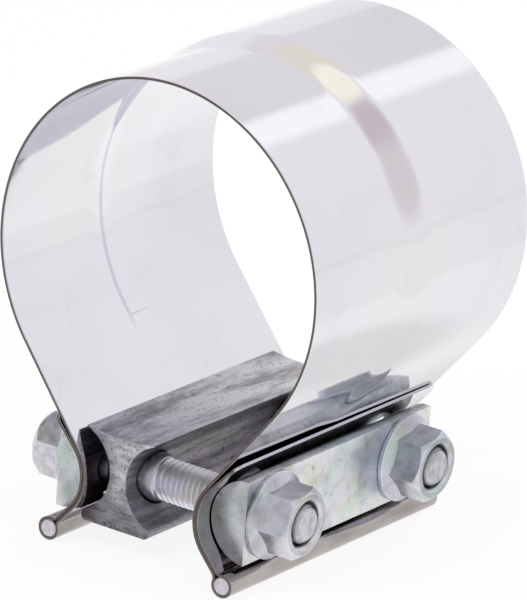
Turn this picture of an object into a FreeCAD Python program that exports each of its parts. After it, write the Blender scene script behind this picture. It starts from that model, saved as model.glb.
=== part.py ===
import FreeCAD, Part
import Sketcher
import math
import os

# Pipe repair clamp: a stepped steel band that is closed round a pipe by two bolts.
# Millimetres.  X runs along the bolts, from their heads to their nuts, Y along the pipe,
# from the small end of the band to the large end, and Z up.  The origin is on the floor
# plane under the middle of the band, which stands on the rolled hems of its two ears.

DIMENSIONS = {
    # band
    "small_radius": 51.6,        # bore of the small end, clamp open
    "bore_step": 1.3,            # the large end's bore radius over the small end's
    "bore_floor": 14.4,          # underside of the small bore above the bolt axes
    "large_bore_rise": 0.8,      # large bore axis above the small one
    "band_thickness": 0.8,
    "band_width": 99.4,
    "small_length": 39.2,        # length of the small bore's wall
    "step_length": 13.0,         # length of the sloped step between the bores
    "layer_gap": 0.15,           # between the band and its hem where they lie together
    "hem_height": 17.0,          # free edge of the hem above the bolt axes
    "hem_spread": 4.5,           # between the hem's free leaf and the flank above it, degrees
    "hem_corner": 4.0,           # corner radius of the free leaf
    "ear_slot_clearance": 1.6,   # width of an ear's slot over the bolt shank
    "ear_slot_height": 21.0,
    # hem rods
    "rod_diameter": 5.0,
    "rod_play": 0.05,            # between a rod and the hem rolled round it
    "rod_inset": 3.25,           # rod axis inside the centre of the ear's curve
    "rod_drop": 16.8,            # rod axis under the bolt axes
    "roll_throat_radius": 2.0,   # bend where the hem closes above the rod
    # tension bars
    "bar_face": 31.55,           # outer faces from the middle plane
    "bar_depth": 11.3,
    "bar_height": 24.0,
    "bar_length": 87.5,
    "bar_round_radius": 12.3,
    "bar_round_shift": 0.25,     # leaves a land along one long edge only
    "bar_hole_clearance": 0.6,   # over the bolt shank
    "bar_play": 0.1,             # between a bar and the hem that wraps it
    # reaction block
    "block_width": 22.6,
    "block_height": 27.5,
    "block_length": 87.5,
    "block_web": 5.4,
    "channel_radius": 12.9,
    "channel_rise": 1.2,         # channel axis above the block's middle
    "block_dish": 1.0,           # hollow of the top face
    "block_hole_clearance": 1.2,  # over the bolt shank
    "block_play": 0.3,           # between the loose block and the head-side ear it lies at
    # bolts
    "bolt_spacing": 62.9,
    "bolt_diameter": 12.0,
    "bolt_length": 75.0,         # under the head
    "shank_over_thread": 1.8,    # shank diameter over the thread's
    "shank_length": 27.5,
    "thread_lead_in": 1.6,
    "hex_across_flats": 18.0,
    "head_height": 12.0,
    "flange_diameter": 25.0,
    "flange_rim": 1.3,
    "flange_cone": 2.6,          # height at which the flange meets the hexagon
    "hex_chamfer": 1.3,
    # nuts
    "nut_height": 11.5,
    "nut_play": 0.06,            # between nut and thread
    "countersink_over_thread": 1.2,
    "front_nut_turn": -22.8,     # degrees about the bolt axis
    "rear_nut_turn": -17.1,
}

SHEET = "Dimensions"
MIDDLE_SECTIONS = 7              # flat facets that make up the sloped step
CUT_MARGIN = 1.0                 # how far cutting shapes run past what they cut


def make_sheet(doc):
    sheet = doc.addObject("Spreadsheet::Sheet", SHEET)
    for row, (alias, value) in enumerate(DIMENSIONS.items(), 1):
        sheet.set(f"A{row}", alias)
        sheet.set(f"B{row}", str(value))
        sheet.setAlias(f"B{row}", alias)
    doc.recompute()
    return sheet


def cell(alias):
    return f"{SHEET}.{alias}"


def value_of(sheet, expression):
    found = sheet.evalExpression(expression)
    return float(getattr(found, "Value", found))


# sizes that follow from the driving ones
AXIS_HEIGHT = (f"({cell('rod_drop')} + {cell('rod_diameter')} / 2"
               f" + {cell('rod_play')} + {cell('band_thickness')})")
BORE_HEIGHT = f"({cell('small_radius')} + {cell('bore_floor')})"
SHANK_DIAMETER = f"({cell('bolt_diameter')} + {cell('shank_over_thread')})"
EAR_REACH = f"({cell('bar_face')} - {cell('bar_depth')} + {cell('bar_round_radius')})"
ROD_REACH = f"({EAR_REACH} - {cell('rod_inset')})"
EAR_INSIDE = f"({cell('bar_round_radius')} + {cell('bar_round_shift')} + {cell('bar_play')})"
EAR_OUTSIDE = f"({EAR_INSIDE} + 2 * {cell('band_thickness')} + {cell('layer_gap')})"
CHANNEL_REACH = f"({cell('block_web')} / 2 + {cell('channel_radius')})"
LIP_DROP = (f"(sqrt({cell('channel_radius')} ^ 2 - ({CHANNEL_REACH} - {cell('block_width')} / 2) ^ 2)"
            f" - {cell('channel_rise')})")
BLOCK_REST = (f"({cell('block_width')} / 2 - {EAR_REACH}"
              f" + sqrt(({EAR_OUTSIDE} + {cell('block_play')}) ^ 2 - {LIP_DROP} ^ 2))")


# ---------------------------------------------------------------- sketches

def make_sketch(body, name, role):
    plane = next(f for f in body.Origin.OriginFeatures if f.Role == role)
    sketch = body.newObject("Sketcher::SketchObject", name)
    sketch.AttachmentSupport = [(plane, "")]
    sketch.MapMode = "FlatFace"
    return sketch


def pin_point(sketch, sheet, geometry, end, place):
    """Bind a point's two coordinates; a coordinate of None lies on the axis."""
    kinds = ("DistanceX", "DistanceY")
    for kind, axis, expression in zip(kinds, (-2, -1), place):
        if expression is None:
            sketch.addConstraint(Sketcher.Constraint("PointOnObject", geometry, end, axis))
            continue
        value = value_of(sheet, expression)
        index = sketch.addConstraint(
            Sketcher.Constraint(kind, -1, 1, geometry, end, value))
        sketch.setExpression(f"Constraints[{index}]", expression)


def coordinates(sheet, place):
    return [0.0 if e is None else value_of(sheet, e) for e in place]


def add_polygon(sketch, sheet, places):
    """Closed outline of straight lines through the given pairs of expressions."""
    points = [FreeCAD.Vector(*coordinates(sheet, p), 0) for p in places]
    first = sketch.GeometryCount
    count = len(points)
    for k in range(count):
        sketch.addGeometry(Part.LineSegment(points[k], points[(k + 1) % count]))
    for k in range(count):
        following = first + (k + 1) % count
        sketch.addConstraint(Sketcher.Constraint("Coincident", first + k, 2, following, 1))
    for k, place in enumerate(places):
        pin_point(sketch, sheet, first + k, 1, place)


def add_circle(sketch, sheet, place, radius):
    centre = FreeCAD.Vector(*coordinates(sheet, place), 0)
    circle = Part.Circle(centre, FreeCAD.Vector(0, 0, 1), value_of(sheet, radius))
    index = sketch.addGeometry(circle)
    pin_point(sketch, sheet, index, 3, place)
    size = sketch.addConstraint(
        Sketcher.Constraint("Radius", index, value_of(sheet, radius)))
    sketch.setExpression(f"Constraints[{size}]", radius)


def make_pad(body, sketch, length, both_ways=False, backwards=False):
    pad = body.newObject("PartDesign::Pad", sketch.Name + "Pad")
    pad.Profile = sketch
    pad.setExpression("Length", length)
    pad.Midplane = both_ways
    pad.Reversed = backwards
    return pad


def make_pocket(body, sketch):
    """A pocket right through the body, both ways from the sketch's plane."""
    pocket = body.newObject("PartDesign::Pocket", sketch.Name + "Pocket")
    pocket.Profile = sketch
    pocket.Type = "ThroughAll"
    pocket.Midplane = True
    return pocket


def make_revolution(body, sketch, kind="PartDesign::Revolution"):
    turned = body.newObject(kind, sketch.Name + "Turned")
    turned.Profile = sketch
    turned.ReferenceAxis = (sketch, ["H_Axis"])
    turned.Angle = 360
    return turned


def make_body(doc, label):
    body = doc.addObject("PartDesign::Body", label)
    body.Label = label
    return body


# ---------------------------------------------------------------- fasteners

def hexagon(across):
    half = f"{across} / 2"
    low = f"{across} / (2 * sqrt(3))"
    high = f"{across} / sqrt(3)"
    return [(half, low), (None, high), (f"-{half}", low),
            (f"-{half}", f"-{low}"), (None, f"-{high}"), (half, f"-{low}")]


def add_hexagon_chamfer(body, sheet, outer, outward, inward):
    """Cuts the hexagon's corners back to a cone at its end x = outer.  Outward and inward
    are the signs of the ways out of the hexagon and into it."""
    corner = f"{cell('hex_across_flats')} / sqrt(3)"
    flat = f"{cell('hex_across_flats')} / 2"
    past = f"{outer} {outward} {cell('hex_chamfer')}"
    deep = f"{outer} {inward} {cell('hex_chamfer')}"
    sketch = make_sketch(body, "CornerCut", "XZ_Plane")
    reach = f"{corner} + 2 * {cell('hex_chamfer')}"
    add_polygon(sketch, sheet, [
        (outer, flat), (past, flat), (past, reach), (deep, reach), (deep, corner)])
    make_revolution(body, sketch, "PartDesign::Groove")


def make_bolt(doc, sheet, label, side):
    """Flanged hexagon bolt.  Its own origin is on its axis in the clamp's middle plane."""
    body = make_body(doc, label)
    under = f"-{cell('bar_face')}"
    top = f"-({cell('bar_face')} + {cell('head_height')})"
    rim = f"-({cell('bar_face')} + {cell('flange_rim')})"
    cone = f"-({cell('bar_face')} + {cell('flange_cone')})"
    tip = f"{cell('bolt_length')} - {cell('bar_face')}"
    shank_end = f"{cell('shank_length')} - {cell('bar_face')}"
    shank = f"{SHANK_DIAMETER} / 2"
    thread = f"{cell('bolt_diameter')} / 2"
    flange = f"{cell('flange_diameter')} / 2"
    flat = f"{cell('hex_across_flats')} / 2"
    head = make_sketch(body, "Head", "YZ_Plane")
    add_polygon(head, sheet, hexagon(cell("hex_across_flats")))
    head.setExpression("AttachmentOffset.Base.z", top)
    make_pad(body, head, cell("head_height"))
    add_hexagon_chamfer(body, sheet, top, "-", "+")
    turned = make_sketch(body, "Shank", "XZ_Plane")
    add_polygon(turned, sheet, [
        (cone, None), (cone, flat), (rim, flange), (under, flange), (under, shank),
        (f"{shank_end} - {cell('thread_lead_in')}", shank), (shank_end, thread),
        (f"{tip} - {cell('thread_lead_in')}", thread),
        (tip, f"{thread} - {cell('thread_lead_in')}"), (tip, None)])
    make_revolution(body, turned)
    place_on_bolt_axis(body, sheet, side, 0.0)
    return body


def make_nut(doc, sheet, label, side, turn):
    """Flange nut, seated on the nut-side bar's outer face."""
    body = make_body(doc, label)
    seat = cell("bar_face")
    end = f"{cell('bar_face')} + {cell('nut_height')}"
    rim = f"{cell('bar_face')} + {cell('flange_rim')}"
    cone = f"{cell('bar_face')} + {cell('flange_cone')}"
    bore = f"{cell('bolt_diameter')} / 2 + {cell('nut_play')}"
    flange = f"{cell('flange_diameter')} / 2"
    flat = f"{cell('hex_across_flats')} / 2"
    mouth = f"({cell('bolt_diameter')} + {cell('countersink_over_thread')}) / 2"
    bevel = f"({mouth} - ({bore}))"
    prism = make_sketch(body, "Prism", "YZ_Plane")
    add_polygon(prism, sheet, hexagon(cell("hex_across_flats")))
    prism.setExpression("AttachmentOffset.Base.z", seat)
    make_pad(body, prism, cell("nut_height"))
    add_hexagon_chamfer(body, sheet, end, "+", "-")
    turned = make_sketch(body, "Flange", "XZ_Plane")
    add_polygon(turned, sheet, [
        (seat, None), (seat, flange), (rim, flange), (cone, flat), (cone, None)])
    make_revolution(body, turned)
    hole = make_sketch(body, "Bore", "XZ_Plane")
    add_polygon(hole, sheet, [
        (seat, None), (seat, mouth), (f"{seat} + {bevel}", bore),
        (f"{end} - {bevel}", bore), (end, mouth), (end, None)])
    make_revolution(body, hole, "PartDesign::Groove")
    place_on_bolt_axis(body, sheet, side, value_of(sheet, cell(turn)))
    return body


# ---------------------------------------------------------------- placing

def axis_height(sheet):
    """Height of the bolt axes above the floor: the rolled hems touch it."""
    return value_of(sheet, AXIS_HEIGHT)


def place_on_bolt_axis(body, sheet, side, turn):
    """side is -1 for the bolt nearer the small end, +1 for the other."""
    body.Placement = FreeCAD.Placement(
        FreeCAD.Vector(0, 0, axis_height(sheet)),
        FreeCAD.Rotation(FreeCAD.Vector(1, 0, 0), turn))
    body.setExpression("Placement.Base.y", f"{side} * {cell('bolt_spacing')} / 2")
    body.setExpression("Placement.Base.z", AXIS_HEIGHT)


# ---------------------------------------------------------------- bars, block and rods

def add_bolt_holes(body, sheet, clearance):
    holes = make_sketch(body, "BoltHoles", "YZ_Plane")
    for side in (-1, 1):
        add_circle(holes, sheet, (f"{side} * {cell('bolt_spacing')} / 2", None),
                   f"({SHANK_DIAMETER} + {cell(clearance)}) / 2")
    make_pocket(body, holes)


def make_bar(doc, sheet, label, turned_over):
    """Half-round tension bar; the head-side bar is the same part turned over."""
    body = make_body(doc, label)
    face = value_of(sheet, cell("bar_face"))
    depth = value_of(sheet, cell("bar_depth"))
    radius = value_of(sheet, cell("bar_round_radius"))
    shift = value_of(sheet, cell("bar_round_shift"))
    half = value_of(sheet, cell("bar_height")) / 2
    centre_x = face - depth + radius
    top_x = centre_x - math.sqrt(radius ** 2 - (half - shift) ** 2)
    low_x = centre_x - math.sqrt(radius ** 2 - (half + shift) ** 2)
    section = make_sketch(body, "Section", "XZ_Plane")
    vector = FreeCAD.Vector
    top = vector(top_x, half, 0)
    low = vector(low_x, -half, 0)
    arc = Part.Arc(top, vector(centre_x - radius, shift, 0), low)
    section.addGeometry(arc)
    section.addGeometry(Part.LineSegment(low, vector(face, -half, 0)))
    section.addGeometry(Part.LineSegment(vector(face, -half, 0), vector(face, half, 0)))
    section.addGeometry(Part.LineSegment(vector(face, half, 0), top))
    join_ends(section, 4)
    half_height = f"{cell('bar_height')} / 2"
    pin_point(section, sheet, 2, 1, (cell("bar_face"), f"-{half_height}"))
    pin_point(section, sheet, 2, 2, (cell("bar_face"), half_height))
    section.addConstraint(Sketcher.Constraint("Horizontal", 1))
    section.addConstraint(Sketcher.Constraint("Horizontal", 3))
    pin_point(section, sheet, 0, 3, (EAR_REACH, cell("bar_round_shift")))
    size = section.addConstraint(Sketcher.Constraint("Radius", 0, radius))
    section.setExpression(f"Constraints[{size}]", cell("bar_round_radius"))
    make_pad(body, section, cell("bar_length"), both_ways=True)
    add_bolt_holes(body, sheet, "bar_hole_clearance")
    body.Placement = FreeCAD.Placement(
        FreeCAD.Vector(0, 0, axis_height(sheet)),
        FreeCAD.Rotation(FreeCAD.Vector(0, 1, 0), 180 if turned_over else 0))
    body.setExpression("Placement.Base.z", AXIS_HEIGHT)
    return body


def join_ends(sketch, count):
    """Closes a loop of curves drawn end to end, matching the ends that lie together."""
    ends = [(g, e, sketch.getPoint(g, e)) for g in range(count) for e in (1, 2)]
    for k, (g, e, p) in enumerate(ends):
        for other, end, q in ends[k + 1:]:
            if other != g and p.distanceToPoint(q) < 1e-6:
                sketch.addConstraint(Sketcher.Constraint("Coincident", g, e, other, end))


def make_block(doc, sheet):
    """Extruded reaction block with a hollow each side that receives an ear."""
    body = make_body(doc, "reaction_block")
    half_width = f"{cell('block_width')} / 2"
    half_height = f"{cell('block_height')} / 2"
    wide = value_of(sheet, half_width)
    high = value_of(sheet, half_height)
    dish = value_of(sheet, cell("block_dish"))
    vector = FreeCAD.Vector
    section = make_sketch(body, "Section", "XZ_Plane")
    corners = [vector(wide, high, 0), vector(-wide, high, 0),
               vector(-wide, -high, 0), vector(wide, -high, 0)]
    section.addGeometry(Part.Arc(corners[0], vector(0, high - dish, 0), corners[1]))
    for start, end in zip(corners[1:], corners[2:] + corners[:1]):
        section.addGeometry(Part.LineSegment(start, end))
    join_ends(section, 4)
    pin_point(section, sheet, 2, 1, (f"-{half_width}", f"-{half_height}"))
    pin_point(section, sheet, 2, 2, (half_width, f"-{half_height}"))
    pin_point(section, sheet, 1, 1, (f"-{half_width}", half_height))
    pin_point(section, sheet, 3, 2, (half_width, half_height))
    hollow = f"(({half_width}) ^ 2 + {cell('block_dish')} ^ 2) / (2 * {cell('block_dish')})"
    size = section.addConstraint(
        Sketcher.Constraint("Radius", 0, value_of(sheet, hollow)))
    section.setExpression(f"Constraints[{size}]", hollow)
    make_pad(body, section, cell("block_length"), both_ways=True)
    channels = make_sketch(body, "Channels", "XZ_Plane")
    for sign in ("", "-"):
        add_circle(channels, sheet, (f"{sign}{CHANNEL_REACH}", cell("channel_rise")),
                   cell("channel_radius"))
    make_pocket(body, channels)
    add_bolt_holes(body, sheet, "block_hole_clearance")
    body.Placement = FreeCAD.Placement(
        FreeCAD.Vector(0, 0, axis_height(sheet)), FreeCAD.Rotation())
    body.setExpression("Placement.Base.x", BLOCK_REST)
    body.setExpression("Placement.Base.z", AXIS_HEIGHT)
    return body


def make_rod(doc, sheet, label, side):
    """Plain rod in the rolled hem; side is -1 at the bolt heads, +1 at the nuts."""
    rod = doc.addObject("Part::Cylinder", label)
    rod.Label = label
    rod.Placement = FreeCAD.Placement(
        FreeCAD.Vector(0, 0, 0), FreeCAD.Rotation(FreeCAD.Vector(1, 0, 0), -90))
    rod.setExpression("Radius", f"{cell('rod_diameter')} / 2")
    rod.setExpression("Height", cell("band_width"))
    rod.setExpression("Placement.Base.x", f"{side} * {ROD_REACH}")
    rod.setExpression("Placement.Base.y", f"-{cell('band_width')} / 2")
    rod.setExpression("Placement.Base.z", f"{AXIS_HEIGHT} - {cell('rod_drop')}")
    return rod


# ---------------------------------------------------------------- band

class BandProfile:
    """Nut-side half of the band's section in the XZ plane, from the crown to the hem's
    free edge.  It is a chain of tangent arcs and lines: the bore, the flank, the ear's
    curve round its bar, the roll round the rod, the curve back up and the free leaf."""

    def __init__(self, size, stepped_up):
        """stepped_up is 0 at the small end, 1 at the large end and between on the step."""
        self.size = size
        self.bore_centre = (0.0, size["bore_height"] + stepped_up * size["large_bore_rise"])
        self.bore_radius = size["small_radius"] + stepped_up * size["bore_step"]
        self.ear_centre = (size["ear_reach"], 0.0)
        self.rod_centre = (size["rod_reach"], -size["rod_drop"])

    def leaf(self):
        """Lower and upper end of the hem's free leaf, along the middle of its thickness."""
        size = self.size
        slope = size["hem_slope"]
        foot = polar(self.ear_centre, size["ear_inside"] + size["band_thickness"] / 2,
                     slope + math.pi / 2)
        return foot, polar(foot, (size["hem_height"] - foot[1]) / math.sin(slope), slope)

    def offset(self, depth):
        """Points of the band's line at a depth below its pipe-side face, which is at 0,
        as a list of (start, middle or None, end)."""
        size = self.size
        thickness = size["band_thickness"]
        gap = size["layer_gap"]
        ear_inside = size["ear_inside"]
        throat = size["roll_throat_radius"]
        roll = size["rod_diameter"] / 2 + size["rod_play"]
        outward = size["ear_outside"] - depth                 # ear curve, band layer
        inward = ear_inside + depth                           # ear curve, hem layer
        wrap = roll + thickness - depth
        # flank: crossing tangent of the bore circle and the ear's curve
        flank_normal = crossing_normal(
            self.bore_centre, self.bore_radius + depth, self.ear_centre, outward)
        crown = polar(self.bore_centre, self.bore_radius + depth, math.pi / 2)
        shoulder = polar(self.bore_centre, self.bore_radius + depth, flank_normal)
        bore_middle = polar(self.bore_centre, self.bore_radius + depth,
                            (math.pi / 2 + flank_normal) / 2)
        ear_top = polar(self.ear_centre, outward, flank_normal + math.pi)
        # the two layers run together towards the rod's axis
        middle_radius = ear_inside + thickness + gap / 2
        together = line_to_point(self.ear_centre, middle_radius, self.rod_centre)
        foot_angle = together - math.pi / 2
        ear_foot = polar(self.ear_centre, outward, foot_angle)
        ear_middle = polar(self.ear_centre, outward,
                           middle_angle(flank_normal + math.pi, foot_angle))
        # throat and roll round the rod
        spacing = roll + thickness + throat
        lateral = gap / 2 + thickness + throat
        along = math.sqrt(spacing ** 2 - lateral ** 2)
        back = together + math.pi
        tilt = math.atan2(lateral, along)
        band_throat = polar(self.rod_centre, spacing, back + tilt)
        hem_throat = polar(self.rod_centre, spacing, back - tilt)
        bend = throat + depth
        band_throat_start = polar(band_throat, bend, together + math.pi / 2)
        band_throat_end = polar(band_throat, bend, back + tilt + math.pi)
        band_throat_middle = polar(band_throat, bend, middle_angle(
            together + math.pi / 2, back + tilt + math.pi))
        roll_start = polar(self.rod_centre, wrap, back + tilt)
        roll_end = polar(self.rod_centre, wrap, back - tilt)
        roll_middle = polar(self.rod_centre, wrap, together)
        hem_throat_start = polar(hem_throat, bend, back - tilt + math.pi)
        hem_throat_end = polar(hem_throat, bend, together - math.pi / 2)
        hem_throat_middle = polar(hem_throat, bend, middle_angle(
            back - tilt + math.pi, together - math.pi / 2))
        # hem layer, back up round the bar to the free edge
        slope = size["hem_slope"]
        hem_foot = polar(self.ear_centre, inward, foot_angle)
        hem_top_angle = slope + math.pi / 2
        hem_top = polar(self.ear_centre, inward, hem_top_angle)
        hem_middle = polar(self.ear_centre, inward, middle_angle(foot_angle, hem_top_angle))
        free_edge = polar(hem_top, math.dist(*self.leaf()), slope)
        return [
            (crown, bore_middle, shoulder),
            (shoulder, None, ear_top),
            (ear_top, ear_middle, ear_foot),
            (ear_foot, None, band_throat_start),
            (band_throat_start, band_throat_middle, band_throat_end),
            (roll_start, roll_middle, roll_end),
            (hem_throat_start, hem_throat_middle, hem_throat_end),
            (hem_throat_end, None, hem_foot),
            (hem_foot, hem_middle, hem_top),
            (hem_top, None, free_edge),
        ]


def polar(centre, radius, angle):
    return (centre[0] + radius * math.cos(angle), centre[1] + radius * math.sin(angle))


def middle_angle(start, end):
    """Half way the short way round from one angle to the other."""
    turn = (end - start + math.pi) % (2 * math.pi) - math.pi
    return start + turn / 2


def crossing_normal(first, first_radius, second, second_radius):
    """Angle of the first circle's radius to where a crossing tangent leaves it."""
    dx, dz = second[0] - first[0], second[1] - first[1]
    distance = math.hypot(dx, dz)
    return math.atan2(dz, dx) + math.acos((first_radius + second_radius) / distance)


def line_to_point(centre, radius, point):
    """Direction of the line that leaves the circle's left side and meets the point."""
    dx, dz = point[0] - centre[0], point[1] - centre[1]
    return math.atan2(dz, dx) + math.asin(radius / math.hypot(dx, dz))


def profile_wire(profile, side, y, lift):
    """One side of the band's section as a closed wire; side -1 is its mirror image."""
    def place(p):
        return FreeCAD.Vector(side * p[0], y, p[1] + lift)

    near = profile.offset(0.0)
    far = profile.offset(profile.size["band_thickness"])
    edges = [curve(place, *part) for part in near]
    edges.append(curve(place, near[-1][2], None, far[-1][2]))
    edges += [curve(place, end, middle, start) for start, middle, end in reversed(far)]
    edges.append(curve(place, far[0][0], None, near[0][0]))
    return Part.Wire(edges)


def curve(place, start, middle, end):
    if middle is None:
        return Part.makeLine(place(start), place(end))
    return Part.Arc(place(start), place(middle), place(end)).toShape()


def band_side(size, side, lift):
    front = -size["band_width"] / 2
    step_start = front + size["small_length"]
    step_end = step_start + size["step_length"]
    back = size["band_width"] / 2
    along = FreeCAD.Vector(0, 1, 0)
    wires = []
    for k in range(MIDDLE_SECTIONS + 1):
        part = k / MIDDLE_SECTIONS
        stepped_up = part * part * (3 - 2 * part)
        y = step_start + part * size["step_length"]
        wires.append(profile_wire(BandProfile(size, stepped_up), side, y, lift))
    small = Part.Face(wires[0]).extrude(along * (front - step_start))
    large = Part.Face(wires[-1]).extrude(along * (back - step_end))
    return [small, large] + [Part.makeLoft([a, b], True, True) for a, b in zip(wires, wires[1:])]


def slot_cutter(size, side, y, lift):
    """Upright slot for a bolt through both layers of an ear."""
    width = size["ear_slot_width"]
    straight = size["ear_slot_height"] - width
    reach = size["bar_face"] + CUT_MARGIN
    box = Part.makeBox(reach, width, straight, FreeCAD.Vector(0, y - width / 2, lift - straight / 2))
    ends = [Part.makeCylinder(width / 2, reach, FreeCAD.Vector(0, y, lift + dz),
                              FreeCAD.Vector(1, 0, 0)) for dz in (-straight / 2, straight / 2)]
    cutter = box.fuse(ends)
    if side < 0:
        cutter = cutter.mirror(FreeCAD.Vector(0, 0, 0), FreeCAD.Vector(1, 0, 0))
    return cutter


def leaf_corner_cutter(size, side, end, lift):
    """Rounds one upper corner of the hem's free leaf; end is -1 or +1 along Y."""
    radius = size["hem_corner"]
    foot, top = BandProfile(size, 0.0).leaf()
    slab = size["band_thickness"] + size["layer_gap"] / 2
    # local X to the band's end, local Z up the leaf, local Y through the thickness
    inner = FreeCAD.Vector(-radius, -slab / 2, -radius)
    square = Part.makeBox(radius + CUT_MARGIN, slab, radius + CUT_MARGIN, inner)
    corner = square.cut(Part.makeCylinder(radius, slab, inner, FreeCAD.Vector(0, 1, 0)))
    up = FreeCAD.Vector(side * (top[0] - foot[0]), 0, top[1] - foot[1]).normalize()
    out = FreeCAD.Vector(0, end, 0)
    through = up.cross(out)
    matrix = FreeCAD.Matrix(out.x, through.x, up.x, side * top[0],
                            out.y, through.y, up.y, end * size["band_width"] / 2,
                            out.z, through.z, up.z, top[1] + lift,
                            0, 0, 0, 1)
    corner.transformShape(matrix, True)
    return corner


def make_band(doc, sheet):
    """One strip of sheet steel, stepped between its two bores, with a rolled hem at each
    ear.  No feature of its own makes such a strip, so its shape is set from the sheet."""
    size = {alias: value_of(sheet, cell(alias)) for alias in DIMENSIONS}
    size["bore_height"] = value_of(sheet, BORE_HEIGHT)
    size["ear_reach"] = value_of(sheet, EAR_REACH)
    size["rod_reach"] = value_of(sheet, ROD_REACH)
    size["ear_inside"] = value_of(sheet, EAR_INSIDE)
    size["ear_outside"] = value_of(sheet, EAR_OUTSIDE)
    size["ear_slot_width"] = value_of(sheet, f"{SHANK_DIAMETER} + {cell('ear_slot_clearance')}")
    flank_slope = math.pi / 2 + crossing_normal(
        (0.0, size["bore_height"]), size["small_radius"], (size["ear_reach"], 0.0), size["ear_outside"])
    size["hem_slope"] = flank_slope - math.radians(size["hem_spread"])
    lift = axis_height(sheet)
    pieces = band_side(size, 1, lift) + band_side(size, -1, lift)
    shape = pieces[0].fuse(pieces[1:]).removeSplitter()
    cutters = [slot_cutter(size, side, y * size["bolt_spacing"] / 2, lift)
               for side in (-1, 1) for y in (-1, 1)]
    cutters += [leaf_corner_cutter(size, side, end, lift)
                for side in (-1, 1) for end in (-1, 1)]
    shape = shape.cut(cutters)
    if len(shape.Solids) != 1:
        raise RuntimeError(f"the band came out as {len(shape.Solids)} solids")
    band = doc.addObject("Part::Feature", "band")
    band.Label = "band"
    band.Shape = shape.Solids[0]
    band.Placement = FreeCAD.Placement()
    return band


# ---------------------------------------------------------------- assembly

def build(doc):
    sheet = make_sheet(doc)
    parts = [
        make_band(doc, sheet),
        make_rod(doc, sheet, "head_side_rod", -1),
        make_rod(doc, sheet, "nut_side_rod", 1),
        make_block(doc, sheet),
        make_bar(doc, sheet, "head_side_bar", True),
        make_bar(doc, sheet, "nut_side_bar", False),
        make_bolt(doc, sheet, "front_bolt", -1),
        make_bolt(doc, sheet, "rear_bolt", 1),
        make_nut(doc, sheet, "front_nut", -1, "front_nut_turn"),
        make_nut(doc, sheet, "rear_nut", 1, "rear_nut_turn"),
    ]
    doc.recompute()
    return parts


def check(doc, parts):
    for item in doc.Objects:
        if "Invalid" in item.State or "Error" in item.State:
            raise RuntimeError(f"{item.Label} failed: {item.State}")
    for part in parts:
        if part.Shape.isNull() or not part.Shape.isValid() or part.Shape.Volume <= 0:
            raise RuntimeError(f"{part.Label} has no valid shape")


def main():
    os.makedirs("parts", exist_ok=True)
    doc = FreeCAD.newDocument("pipe_repair_clamp")
    parts = build(doc)
    check(doc, parts)
    for part in parts:
        part.Shape.exportStep(f"parts/{part.Label}.step")
        box = part.Shape.BoundBox
        print(f"{part.Label}: {part.Shape.Volume:.1f} mm3, {len(part.Shape.Solids)} solid, "
              f"X {box.XMin:.2f}..{box.XMax:.2f}, Y {box.YMin:.2f}..{box.YMax:.2f}, "
              f"Z {box.ZMin:.2f}..{box.ZMax:.2f}")


main()
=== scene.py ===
import math
from collections import namedtuple

import bmesh
import bpy
from mathutils import Matrix, Vector


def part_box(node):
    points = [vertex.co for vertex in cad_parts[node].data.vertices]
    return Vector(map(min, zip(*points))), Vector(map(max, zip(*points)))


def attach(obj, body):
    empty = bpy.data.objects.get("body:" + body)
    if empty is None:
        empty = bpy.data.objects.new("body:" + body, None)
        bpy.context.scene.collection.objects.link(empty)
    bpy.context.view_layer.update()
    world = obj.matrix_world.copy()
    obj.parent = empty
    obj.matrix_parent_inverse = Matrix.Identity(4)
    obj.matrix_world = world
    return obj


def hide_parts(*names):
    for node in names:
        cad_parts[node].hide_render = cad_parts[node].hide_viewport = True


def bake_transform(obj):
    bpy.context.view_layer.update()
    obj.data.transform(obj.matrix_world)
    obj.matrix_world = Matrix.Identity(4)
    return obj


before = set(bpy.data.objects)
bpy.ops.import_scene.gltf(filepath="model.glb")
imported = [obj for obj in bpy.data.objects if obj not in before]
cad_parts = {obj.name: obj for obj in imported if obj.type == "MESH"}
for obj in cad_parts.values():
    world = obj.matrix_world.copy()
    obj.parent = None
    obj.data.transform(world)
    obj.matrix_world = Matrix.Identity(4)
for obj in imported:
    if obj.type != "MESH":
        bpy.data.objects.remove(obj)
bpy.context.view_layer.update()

# Pipe repair clamp.  Metres, in the CAD frame: X along the bolts towards their nuts,
# Y along the pipe towards the large end, Z up from the floor under the rolled hems.

MM = 0.001

# ------------------------------------------------------------------ sizes, millimetres

SMALL_RADIUS = 51.6
LARGE_RADIUS = 52.9
BORE_HEIGHT = 66.0            # small bore's axis above the bolt axes
LARGE_RISE = 0.8
SHEET = 0.8                   # band thickness
BAND_HALF_WIDTH = 49.7
STEP_START = -10.5
STEP_END = 2.5
CREASE_SHADE_LINE = STEP_START + 6.1     # painted line of bluish shade on the step's inside, where a line is pressed into it
CREASE_SHADE_REACH = 0.6
LAYER_GAP = 0.15
HEM_HEIGHT = 17.0
HEM_ANGLE = math.radians(48.4)
HEM_TWIST = math.radians(2.4)
HEM_CORNER = 4.0
SLOT_WIDTH = 15.4
SLOT_HEIGHT = 21.0
ROD_RADIUS = 2.5
ROD_PLAY = 0.05
ROD_INSET = 3.25
ROD_DROP = 16.8
THROAT = 2.0
BAR_FACE = 31.55
BAR_DEPTH = 11.3
BAR_HALF_HEIGHT = 12.0
BAR_RADIUS = 12.3
BAR_SHIFT = 0.25
BAR_HOLE_RADIUS = 7.2
BAR_PLAY = 0.1
BOLT_RADIUS = 6.0
SHANK_RADIUS = 6.9
SHANK_END = -4.05
BOLT_Y = 31.45
BLOCK_HOLE_RADIUS = 7.5
BLOCK_WEB = 5.4
CHANNEL_RADIUS = 12.9
CHANNEL_RISE = 1.2
BLOCK_DISH = 1.0
BLOCK_CORNER = 1.4
HEX_FLATS = 18.0
FLANGE_RADIUS = 12.5
PITCH = 1.75
THREAD_DEPTH = 0.61 * PITCH
BOLT_END_CHAMFER = 1.65

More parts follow.
